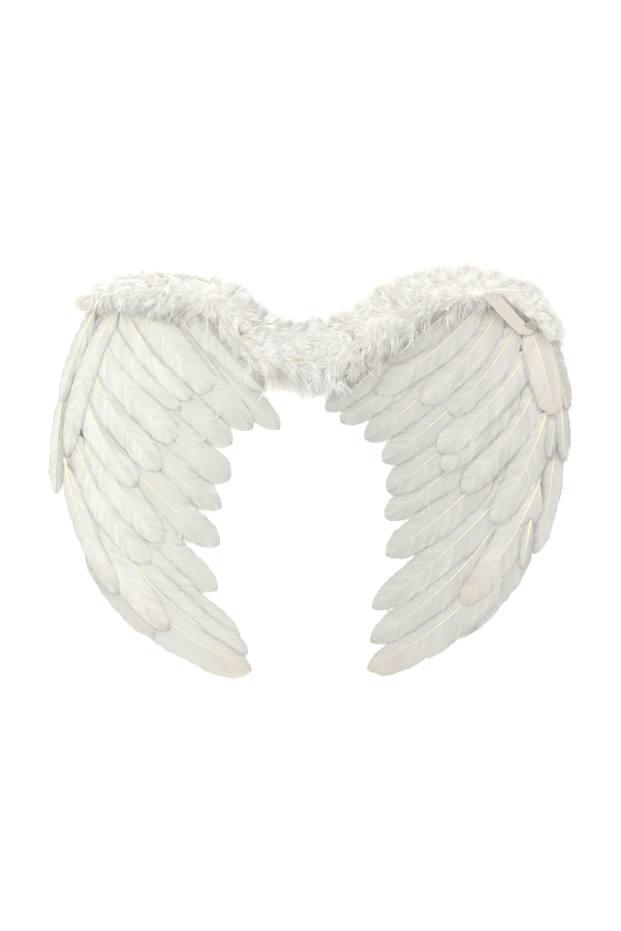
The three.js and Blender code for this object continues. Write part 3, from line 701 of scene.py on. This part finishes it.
def vaneMaterial(name, pale, patch, shade, warmTip):
    # goose feather vane: matt with a faint silky sheen, fine lines where the barbs lie side by side
    material, tree, surface = newMaterial(name, Roughness=0.62, IOR=1.5, Sheen_Weight=0.15,
                                          Sheen_Roughness=0.5)
    surface.inputs["Specular IOR Level"].default_value = 0.35
    tone = addNode(tree, "ShaderNodeAttribute", attribute_name="tone").outputs["Fac"]
    warm = addNode(tree, "ShaderNodeAttribute", attribute_name="warm").outputs["Fac"]
    cream = addNode(tree, "ShaderNodeAttribute", attribute_name="cream").outputs["Fac"]
    along = addNode(tree, "ShaderNodeAttribute", attribute_name="along").outputs["Fac"]
    place = addNode(tree, "ShaderNodeTexCoord").outputs["Object"]
    clouds = addNode(tree, "ShaderNodeTexNoise", {"Scale": 32.0, "Detail": 3.0}, {"Vector": place})
    mottle = addNode(tree, "ShaderNodeMapRange", {"From Min": 0.35, "From Max": 0.7},
                     {"Value": clouds.outputs["Fac"]}).outputs["Result"]
    colour = blendOf(tree, mottle, pale, patch)
    barb = addNode(tree, "ShaderNodeMapRange", {"To Max": 0.9}, {"Value": tone}).outputs["Result"]
    colour = blendOf(tree, barb, colour, shade)
    colour = blendOf(tree, cream, colour, "#D6C8B0")
    creamy = addNode(tree, "ShaderNodeMapRange", {"From Min": 0.3, "From Max": 0.0, "To Max": 0.35},
                     {"Value": along}).outputs["Result"]
    colour = blendOf(tree, creamy, colour, "#D8CEB8")
    colour = blendOf(tree, warm, colour, warmTip)
    tree.links.new(colour, surface.inputs["Base Color"])
    fine = addNode(tree, "ShaderNodeTexNoise", {"Scale": 1400.0, "Detail": 2.0}, {"Vector": place})
    relief = addNode(tree, "ShaderNodeBump", {"Strength": 0.25, "Distance": 0.0002},
                     {"Height": fine.outputs["Fac"]})
    tree.links.new(relief.outputs["Normal"], surface.inputs["Normal"])
    return material


def quillMaterial():
    # keratin quill: smooth, slightly glossy, cream at the root and nearly white at the tip
    material, tree, surface = newMaterial("keratinQuill", Roughness=0.38, IOR=1.54)
    along = addNode(tree, "ShaderNodeAttribute", attribute_name="along").outputs["Fac"]
    share = addNode(tree, "ShaderNodeMapRange", {"From Min": 0.35, "From Max": 1.0}, {"Value": along})
    colour = blendOf(tree, share.outputs["Result"], "#DCCFAD", "#CBC8BB")
    place = addNode(tree, "ShaderNodeTexCoord").outputs["Object"]
    streaks = addNode(tree, "ShaderNodeTexNoise", {"Scale": 160.0, "Detail": 2.0}, {"Vector": place})
    tree.links.new(blendOf(tree, streaks.outputs["Fac"], colour, "#DDD4BD"), surface.inputs["Base Color"])
    return material


# the right wing's vane colours are darker than the left's as painted shade, for the light from the upper left
# that leaves the right wing greyer
leftVane = vaneMaterial("leftGooseFeather", "#D1D1CA", "#CBCBC4", "#BBBBB4", "#C6B4A1")
rightVaneWithPaintedShade = vaneMaterial("rightGooseFeatherPaintedShade", "#C7C5BF", "#C0BEB9", "#AFAEA8", "#BFAE9C")
quill = quillMaterial()
for featherName in featherNames:
    buildFeather(featherName, leftVane if featherName.startswith("left") else rightVaneWithPaintedShade, quill)
print("feathers ready:", len(featherNames))


# Fur trim: soft rabbit fur, the rolled skin under clumped hairs that follow the way the real ones are brushed

furMake = {
    "rollVoxel": 2.4 * mm,
    "rollShrink": 1.6 * mm,
    "hairLength": 19 * mm,
    "hairWidth": 0.22 * mm,
    "hairsPerClump": 26,
    "clumpPull": 0.4,
    "liftAngle": 20,  # degrees from the roll's surface
    "strays": 0.14,  # share of the hairs that lie any way
    "lowerLonger": 0.45,  # how much longer the hairs of the lower edge are
    "aboveSolids": 7 * mm,  # how far a hair may rise over the top of the CAD trims
    "hairs": {"left_fur_trim": 9500, "centre_fur_trim": 8500, "right_fur_trim": 10000},
}
# how the hairs lie: a place on the middle of the trim, its half width in hundredths of the height, and the
# headings of the hairs above the middle line, on it and below it, in degrees anticlockwise from the right
furFlow = [
    {"at": (5, 90), "half": 2, "above": 170, "on": 195, "below": 225},
    {"at": (10.5, 93.5), "half": 3, "above": 150, "on": 185, "below": 215},
    {"at": (15.5, 94.4), "half": 4, "above": 135, "on": 180, "below": 225},
    {"at": (22, 94.2), "half": 4.6, "above": 120, "on": 185, "below": 240},
    {"at": (28.5, 93.6), "half": 4.5, "above": 100, "on": 200, "below": 260},
    {"at": (33.6, 91), "half": 5, "above": 50, "on": -30, "below": -60},
    {"at": (37.6, 84.4), "half": 5.4, "above": 50, "on": -25, "below": -60},
    {"at": (42, 79.8), "half": 7, "above": 60, "on": -15, "below": -75},
    {"at": (48, 79.2), "half": 7.2, "above": 85, "on": 0, "below": -90},
    {"at": (53.5, 79.8), "half": 7.2, "above": 110, "on": 185, "below": -95},
    {"at": (58, 82.2), "half": 6.6, "above": 125, "on": 190, "below": -115},
    {"at": (62.6, 86), "half": 6.4, "above": 130, "on": 180, "below": 262},
    {"at": (67.4, 90.2), "half": 6.2, "above": 120, "on": 175, "below": 262},
    {"at": (73, 93.8), "half": 5.4, "above": 105, "on": 165, "below": 258},
    {"at": (78.8, 95), "half": 4.6, "above": 80, "on": 120, "below": 250},
    {"at": (84.5, 94.6), "half": 3.7, "above": 60, "on": 50, "below": -80},
    {"at": (89.2, 92.8), "half": 3.5, "above": 45, "on": 35, "below": -60},
    {"at": (93.2, 87.6), "half": 3, "above": 25, "on": 0, "below": -70},
    {"at": (96.5, 81), "half": 2, "above": 10, "on": -40, "below": -80},
]
# longer wisps that hang from the lower edge of the middle, and small brown stains
furWisps = {"from": (41, 70), "to": (56, 76), "longer": 1.3}
furStains = [
    {"at": (44.4, 73), "reach": 5 * mm, "amount": 0.4},
    {"at": (48.2, 72.6), "reach": 4 * mm, "amount": 0.22},
]


def stainAt(places):
    stain = np.zeros(len(places))
    for row in furStains:
        far = np.linalg.norm(places[:, :2] - wingPlace(*row["at"]), axis=1) / row["reach"]
        stain = np.maximum(stain, row["amount"] * np.exp(-far ** 2))
    return stain


def flowAt(places):
    # the hairs' headings at places in the plan, and how far these lie across the trim, from -1 below
    # to 1 above
    rows = np.array([wingPlace(*row["at"]) for row in furFlow])
    halves = np.array([row["half"] for row in furFlow]) / 100 * size[1]
    ways = {key: np.radians([row[key] for row in furFlow]) for key in ("above", "on", "below")}
    ways = {key: np.stack([np.cos(turn), np.sin(turn)], axis=1) for key, turn in ways.items()}
    best = np.full(len(places), np.inf)
    result, sides = np.zeros((len(places), 2)), np.zeros(len(places))
    for k in range(len(rows) - 1):
        line = rows[k + 1] - rows[k]
        share = np.clip((places - rows[k]) @ line / (line @ line), 0, 1)
        offset = places - rows[k] - share[:, None] * line
        distance = np.linalg.norm(offset, axis=1)
        side = np.clip(offset @ unit(np.array([-line[1], line[0]]))
                       / (halves[k] * (1 - share) + halves[k + 1] * share), -1, 1)
        mixed = {key: way[k] * (1 - share)[:, None] + way[k + 1] * share[:, None]
                 for key, way in ways.items()}
        edge = np.where((side > 0)[:, None], mixed["above"], mixed["below"])
        reach = np.abs(side)[:, None] ** 1.3
        nearer = distance < best
        result[nearer] = unit(edge * reach + mixed["on"] * (1 - reach))[nearer]
        sides[nearer] = side[nearer]
        best = np.minimum(best, distance)
    return result, sides


def furRoll(node):
    # the roll under the hairs, from the CAD trim
    shape = mergedNode(node)
    mesh = bpy.data.meshes.new(node + "_roll")
    shape.to_mesh(mesh)
    shape.free()
    holder = bpy.data.objects.new(node + "_roll", mesh)
    bpy.context.collection.objects.link(holder)
    remesh = holder.modifiers.new("remesh", "REMESH")
    remesh.mode = "VOXEL"
    remesh.voxel_size = furMake["rollVoxel"]
    remesh.use_smooth_shade = True
    evaluated = holder.evaluated_get(bpy.context.evaluated_depsgraph_get())
    roll = bmesh.new()
    roll.from_mesh(evaluated.to_mesh())
    bpy.data.objects.remove(holder)
    for _ in range(4):
        bmesh.ops.smooth_vert(roll, verts=roll.verts, factor=0.5,
                              use_axis_x=True, use_axis_y=True, use_axis_z=True)
    roll.normal_update()
    for vert in roll.verts:
        inward = min(furMake["rollShrink"], max(0.0, vert.co.z - 1 * mm))
        vert.co -= vert.normal * inward
        vert.co.z = max(vert.co.z, 0.4 * mm)
    roll.normal_update()
    return roll


def spotsOn(roll, count, rng):
    # places spread evenly over the part of the roll that can be seen
    bmesh.ops.triangulate(roll, faces=roll.faces)
    corners = np.array([[vert.co for vert in face.verts] for face in roll.faces if face.normal.z > -0.35])
    normals = np.array([face.normal for face in roll.faces if face.normal.z > -0.35])
    areas = np.linalg.norm(np.cross(corners[:, 1] - corners[:, 0], corners[:, 2] - corners[:, 0]), axis=1)
    picked = rng.choice(len(corners), count, p=areas / areas.sum())
    a, b = rng.uniform(0, 1, (2, count, 1))
    over = a + b > 1
    a, b = np.where(over, 1 - a, a), np.where(over, 1 - b, b)
    tri = corners[picked]
    return tri[:, 0] + a * (tri[:, 1] - tri[:, 0]) + b * (tri[:, 2] - tri[:, 0]), normals[picked]


def hairPaths(roots, normals, rng):
    make = furMake
    steps = 4
    clumpCount = max(1, int(len(roots) / make["hairsPerClump"]))
    leaders = rng.choice(len(roots), clumpCount, replace=False)
    tree = KDTree(clumpCount)
    for k, leader in enumerate(leaders):
        tree.insert(roots[leader], k)
    tree.balance()
    clump = np.array([tree.find(root)[1] for root in roots])
    heading, across = flowAt(roots[:, :2])
    swirl = np.array([noise.noise(Vector(root) * 22) for root in roots]) * 1.1
    clumpTurn = rng.normal(0, 0.2, clumpCount)[clump]
    clumpCurl = rng.normal(0, 0.35, clumpCount)[clump]
    clumpLength = rng.uniform(0.75, 1.25, clumpCount)[clump]
    clumpLift = rng.normal(0, 7, clumpCount)[clump]
    ownTurn = rng.normal(0, 0.14, len(roots))
    stray = rng.uniform(0, 1, len(roots)) < make["strays"]
    ownTurn[stray] = rng.uniform(-math.pi, math.pi, stray.sum())
    heading = turned(heading, swirl + clumpTurn + ownTurn)
    length = make["hairLength"] * clumpLength * rng.uniform(0.75, 1.15, len(roots))
    start, end = wingPlace(*furWisps["from"]), wingPlace(*furWisps["to"])
    wisp = ((roots[:, :2] > start) & (roots[:, :2] < end)).all(axis=1)
    length[wisp] *= furWisps["longer"]
    length *= 1 + make["lowerLonger"] * np.clip(-across - 0.35, 0, 0.5) / 0.5
    length[stray] *= 0.75
    lift = make["liftAngle"] + clumpLift + rng.normal(0, 6, len(roots)) + 14 * stray
    lift = np.radians(np.clip(lift, 4, 60))
    flow = np.concatenate([heading, np.zeros((len(roots), 1))], axis=1)
    flow = unit(flow - (flow * normals).sum(axis=1, keepdims=True) * normals * 0.9)
    leaderRoots = roots[leaders][clump]
    paths = [roots - normals * 0.6 * mm]
    for step in range(1, steps):
        t = step / (steps - 1)
        curl = turned(flow[:, :2], clumpCurl * t)
        way = np.concatenate([curl, flow[:, 2:]], axis=1)
        out = np.sin(lift)[:, None] * (1 - 0.45 * t)
        point = roots + length[:, None] * t * (way * np.cos(lift)[:, None] + normals * out)
        point += (leaderRoots - roots) * make["clumpPull"] * t ** 1.4
        point[:, 2] -= length * 0.1 * t * t
        paths.append(point)
    return np.stack(paths, axis=1), clump


strapTree = treeOf(["right_strap"])
# the two legs of the strap that show, and the shares of each that the hairs leave bare
strapLegs = [
    {"from": (83.4, 92.8), "to": (90.1, 83.8), "bare": (0.27, 0.94)},
    {"from": (90.1, 83.8), "to": (92.4, 87.2), "bare": (0.27, 0.5)},
]
strapReach = 12 * mm


def overStrap(point):
    # whether a hair would hide the part of the strap that shows
    for leg in strapLegs:
        start = wingPlace(*leg["from"])
        line = wingPlace(*leg["to"]) - start
        share = (point[:2] - start) @ line / (line @ line)
        aside = np.linalg.norm(point[:2] - start - share * line)
        if leg["bare"][0] < share < leg["bare"][1] and aside < strapReach:
            hit = strapTree.ray_cast(Vector((point[0], point[1], 0.1)), Vector((0, 0, -1)))[0]
            return hit is not None
    return False


def buildFur(node, hair, shadedSkin):
    rng = np.random.default_rng(len(node) * 7 + ord(node[0]))
    make = furMake
    roll = furRoll(node)
    roots, normals = spotsOn(roll, make["hairs"][node], rng)
    paths, clump = hairPaths(roots, normals, rng)
    for path in paths:
        for point in path[1:]:
            highest = high[2] + make["aboveSolids"]
            point[2] = max(min(point[2], highest), laidTop(point[0], point[1]) + 0.5 * mm)
        path[0, 2] = max(path[0, 2], 0.4 * mm)
    if node.startswith("right"):
        keep = np.array([not any(overStrap(point) for point in path) for path in paths])
        paths, clump = paths[keep], clump[keep]
    t = np.linspace(0, 1, paths.shape[1])[None]
    wide = make["hairWidth"] * (1 - 0.55 * t) * rng.uniform(0.7, 1.3, (len(paths), 1))
    ups = np.repeat(normals[:, None], paths.shape[1], axis=1)[:len(paths)]
    ups = unit(ups + rng.normal(0, 0.3, (len(paths), 1, 3)))
    points, faces, spread = strandArrays(paths, wide, 0.6 * wide, ups)
    tone = 0.6 * rng.uniform(0, 1, clump.max() + 1)[clump] + 0.4 * rng.uniform(0, 1, len(paths))
    tone = np.repeat(tone[:, None], paths.shape[1], axis=1)
    along = np.repeat(t, len(paths), axis=0)
    values = {"along": spread(along), "tone": spread(tone), "stain": stainAt(points)}
    mesh = arrayMesh(node, points, faces, values)
    backing = bpy.data.meshes.new("roll")
    roll.to_mesh(backing)
    roll.free()
    backing.polygons.foreach_set("material_index", np.ones(len(backing.polygons), dtype=np.int32))
    whole = bmesh.new()
    whole.from_mesh(mesh)
    whole.from_mesh(backing)
    bpy.data.meshes.remove(backing)
    bpy.data.meshes.remove(mesh)
    fit(asPiece(node + "_hair", whole, [hair, shadedSkin], smooth=False), "fur", node)


def furMaterial():
    # rabbit fur: fine matt hairs with a soft sheen, a little darker towards the roots as painted shade, cream
    # here and there
    material, tree, surface = newMaterial("rabbitFur", Roughness=0.8, Sheen_Weight=0.25, Sheen_Roughness=0.6)
    surface.inputs["Specular IOR Level"].default_value = 0.2
    along = addNode(tree, "ShaderNodeAttribute", attribute_name="along").outputs["Fac"]
    tone = addNode(tree, "ShaderNodeAttribute", attribute_name="tone").outputs["Fac"]
    place = addNode(tree, "ShaderNodeTexCoord").outputs["Object"]
    clouds = addNode(tree, "ShaderNodeTexNoise", {"Scale": 26.0, "Detail": 2.0}, {"Vector": place})
    patches = addNode(tree, "ShaderNodeMapRange", {"From Min": 0.5, "From Max": 0.72},
                      {"Value": clouds.outputs["Fac"]}).outputs["Result"]
    tips = blendOf(tree, tone, "#FFFFFD", "#FBFAF4")
    tips = blendOf(tree, patches, tips, "#FAF5EA")
    # painted shade: the hairs are a little darker towards their roots, where the shade deep in the fur falls
    depth = addNode(tree, "ShaderNodeMapRange", {"From Max": 0.6}, {"Value": along}).outputs["Result"]
    stain = addNode(tree, "ShaderNodeAttribute", attribute_name="stain").outputs["Fac"]
    colour = blendOf(tree, stain, blendOf(tree, depth, "#FCFAF4", tips), "#9C8577")
    tree.links.new(colour, surface.inputs["Base Color"])
    return material


def shadedSkinMaterial():
    # rabbit skin under the hairs: matt, with short undercoat, its colour darker than the hairs as painted
    # shade for the partings
    material, tree, surface = newMaterial("rabbitSkinPaintedShade", Roughness=0.95)
    place = addNode(tree, "ShaderNodeTexCoord").outputs["Object"]
    undercoat = addNode(tree, "ShaderNodeTexNoise", {"Scale": 420.0, "Detail": 3.0, "Distortion": 1.2},
                        {"Vector": place})
    # painted shade: the skin's colours are those of the shade deep in the fur
    colour = blendOf(tree, undercoat.outputs["Fac"], "#E6E3DA", "#D8D4CA")
    tree.links.new(colour, surface.inputs["Base Color"])
    relief = addNode(tree, "ShaderNodeBump", {"Strength": 0.6, "Distance": 0.0006},
                     {"Height": undercoat.outputs["Fac"]})
    tree.links.new(relief.outputs["Normal"], surface.inputs["Normal"])
    return material


fur = furMaterial()
shadedSkin = shadedSkinMaterial()
for furName in furNames:
    buildFur(furName, fur, shadedSkin)
print("fur ready")


# Bare quills that come out of the fur and lie on it

bareQuills = [
    {"from": (33.2, 91.4), "to": (42.8, 84.6), "radius": 1.05 * mm},
    {"from": (37.6, 82.9), "to": (41.8, 79.9), "radius": 0.9 * mm},
    {"from": (46.2, 76.2), "to": (54, 75.7), "radius": 1.0 * mm},
]


def buildBareQuills(material):
    shape = bmesh.new()
    along = shape.verts.layers.float.new("along")
    steps, corners = 14, 8
    turn = np.linspace(0, 2 * math.pi, corners, endpoint=False)
    for row in bareQuills:
        start, end = wingPlace(*row["from"]), wingPlace(*row["to"])
        share = np.linspace(0, 1, steps)
        flat = start + share[:, None] * (end - start)
        tops = [coverTree.ray_cast(Vector((x, y, 0.1)), Vector((0, 0, -1)))[0].z for x, y in flat]
        z = np.polyval(np.polyfit(share, tops, 2), share) + 0.5 * mm - 5 * mm * np.abs(2 * share - 1) ** 6
        centres = np.concatenate([flat, z[:, None]], axis=1)
        aside = unit(np.array([start[1] - end[1], end[0] - start[0]]))
        aside = np.array([aside[0], aside[1], 0])
        radius = row["radius"] * (1 - 0.5 * share)
        section = np.cos(turn)[:, None] * aside + np.sin(turn)[:, None] * (0, 0, 1)
        outlines = radius[:, None, None] * section[None]
        tubeAlong(shape, centres, outlines, [(along, 0.5 * share)])
    fit(asPiece("bareQuills", shape, [material]), "left_feathers")


buildBareQuills(quill)
print("bare quills ready")


# Straps: soft ribbed elastic band

# where the band is folded, the leg that goes on into the fur lies on top, and the fold is a soft round one
strapFold = {
    "above": 9 * mm,  # the fold is the only place so high where sections lie together
    "together": 1 * mm,
    "rise": 2 * mm,
    "turned": 0.5,
    "halves": (0.96, 0.8, 0.6, 0.8, 0.96),
}


def foldSections(sections):
    # swaps the two legs at the fold, rounds it off and gives the number of its middle section
    middles = np.array([section[0] for section in sections])
    apart = np.linalg.norm(middles[:, None, :2] - middles[None, :, :2], axis=2)
    together = [k for k in range(len(middles))
                if middles[k, 2] > strapFold["above"] and np.sort(apart[k])[4] < strapFold["together"]]
    if not together:
        return 0
    heights = [middles[k, 2] for k in together]
    # the band turns on its edge where it goes up into the fur behind the fold
    before = together[0] - 1
    sections[before] = sections[before][:3] + (sections[before][3] * strapFold["turned"], sections[before][4])
    for k, share in zip(together, strapFold["halves"]):
        middle, wide, out, half, thick = sections[k]
        middle = middle.copy()
        middle[2] = min(heights) + max(heights) - middle[2]
        middle[1] += strapFold["rise"] * (share - strapFold["halves"][2]) / 0.4
        sections[k] = (middle, wide, out, half * share, thick)
    return together[2]


def buildStrap(node, start, material):
    rings = sectionsOf(node, 4, start)
    sections = []
    for ring in rings:
        middle = ring.mean(axis=0)
        offsets = ring - middle
        wide = np.linalg.svd(offsets)[2][0]
        if sections and wide @ sections[-1][1] < 0:
            wide = -wide
        half = np.abs(offsets @ wide).max()
        thin = unit(offsets - np.outer(offsets @ wide, wide))
        out = thin[np.argmax(thin @ sections[-1][2])] if sections else thin[np.argmax(thin[:, 2])]
        sections.append((middle, wide, out, half, np.abs(offsets @ out).max()))
    folded = foldSections(sections)
    fine = 8
    count = (len(sections) - 1) * fine + 1
    at = np.linspace(0, len(sections) - 1, count)
    columns = [np.array([section[k] for section in sections]) for k in range(5)]

    def between(values):
        values = values.reshape(len(sections), -1)
        return np.stack([np.interp(at, np.arange(len(sections)), column) for column in values.T], axis=1)

    middle, wide, out, half, thick = (between(column) for column in columns)
    wide, out = unit(wide), unit(out)
    turns = [(1, -1), (1, 1), (0.94, 1.25), (0.5, 1.3), (0, 1.3), (-0.5, 1.3), (-0.94, 1.25),
             (-1, 1), (-1, -1), (-0.94, -1.25), (-0.5, -1.3), (0, -1.3), (0.5, -1.3), (0.94, -1.25)]
    outlines = np.stack([wide * half * a + out * thick * b * 0.75 for a, b in turns], axis=1)
    shape = bmesh.new()
    # painted shade: the band before the middle of the fold, seen on its edge in the fold's shade, is coloured
    # darker
    shadedLeg = shape.verts.layers.float.new("shadedLeg")
    tubeAlong(shape, middle, outlines, [(shadedLeg, np.clip(folded - at + 0.5, 0, 1))])
    band = fit(asPiece(node + "_elastic", shape, [material]), "elastic", node)


def strapMaterial():
    # woven elastic: matt cotton-covered rubber with fine ribs along the band, and painted shade on the part
    # before the fold
    material, tree, surface = newMaterial("wovenElastic", Roughness=0.85, Sheen_Weight=0.2)
    place = addNode(tree, "ShaderNodeTexCoord").outputs["Object"]
    weave = addNode(tree, "ShaderNodeTexWave", {"Scale": 260.0, "Distortion": 0.4}, {"Vector": place},
                    bands_direction="DIAGONAL")
    clouds = addNode(tree, "ShaderNodeTexNoise", {"Scale": 60.0}, {"Vector": place})
    colour = blendOf(tree, clouds.outputs["Fac"], "#C3BBB2", "#BBB3A9")
    # painted shade, darker on the band before the fold
    shadedLeg = addNode(tree, "ShaderNodeAttribute", attribute_name="shadedLeg").outputs["Fac"]
    colour = blendOf(tree, shadedLeg, colour, "#A0968A")
    tree.links.new(colour, surface.inputs["Base Color"])
    relief = addNode(tree, "ShaderNodeBump", {"Strength": 0.3, "Distance": 0.0002},
                     {"Height": weave.outputs["Fac"]})
    tree.links.new(relief.outputs["Normal"], surface.inputs["Normal"])
    return material


elastic = strapMaterial()


def farEnd(node, direction):
    points = np.array([vert.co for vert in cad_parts[node].data.vertices])
    return points[np.argmax(points @ np.array(direction))]


buildStrap("left_strap", farEnd("left_strap", (1, 0, 0)), elastic)
buildStrap("right_strap", farEnd("right_strap", (-1, 0, 0)), elastic)
print("straps ready")


# Backing panel: white wool felt with soft cut edges

def buildPanel():
    shape = mergedNode("backing_panel")
    bmesh.ops.dissolve_limit(shape, angle_limit=0.01, verts=shape.verts, edges=shape.edges)
    rim = [edge for edge in shape.edges if edge.calc_face_angle(0) > 0.8]
    bmesh.ops.bevel(shape, geom=rim, offset=0.4 * mm, segments=1, affect="EDGES", profile=0.5, material=-1,
                    clamp_overlap=True)
    bmesh.ops.triangulate(shape, faces=shape.faces)
    material, tree, surface = newMaterial("woolFelt", Roughness=0.95, Sheen_Weight=0.3)
    place = addNode(tree, "ShaderNodeTexCoord").outputs["Object"]
    fibres = addNode(tree, "ShaderNodeTexNoise", {"Scale": 700.0, "Detail": 4.0, "Distortion": 1.5},
                     {"Vector": place})
    tree.links.new(blendOf(tree, fibres.outputs["Fac"], "#CCCAC2", "#C0BEB6"), surface.inputs["Base Color"])
    relief = addNode(tree, "ShaderNodeBump", {"Strength": 0.5, "Distance": 0.0003},
                     {"Height": fibres.outputs["Fac"]})
    tree.links.new(relief.outputs["Normal"], surface.inputs["Normal"])
    upper = sum(face.calc_area() for face in shape.faces if face.normal.z > 0.7)
    felt = fit(asPiece("backing_panel_felt", shape, [material], smooth=False), "felt", "backing_panel")


buildPanel()
print("panel ready")
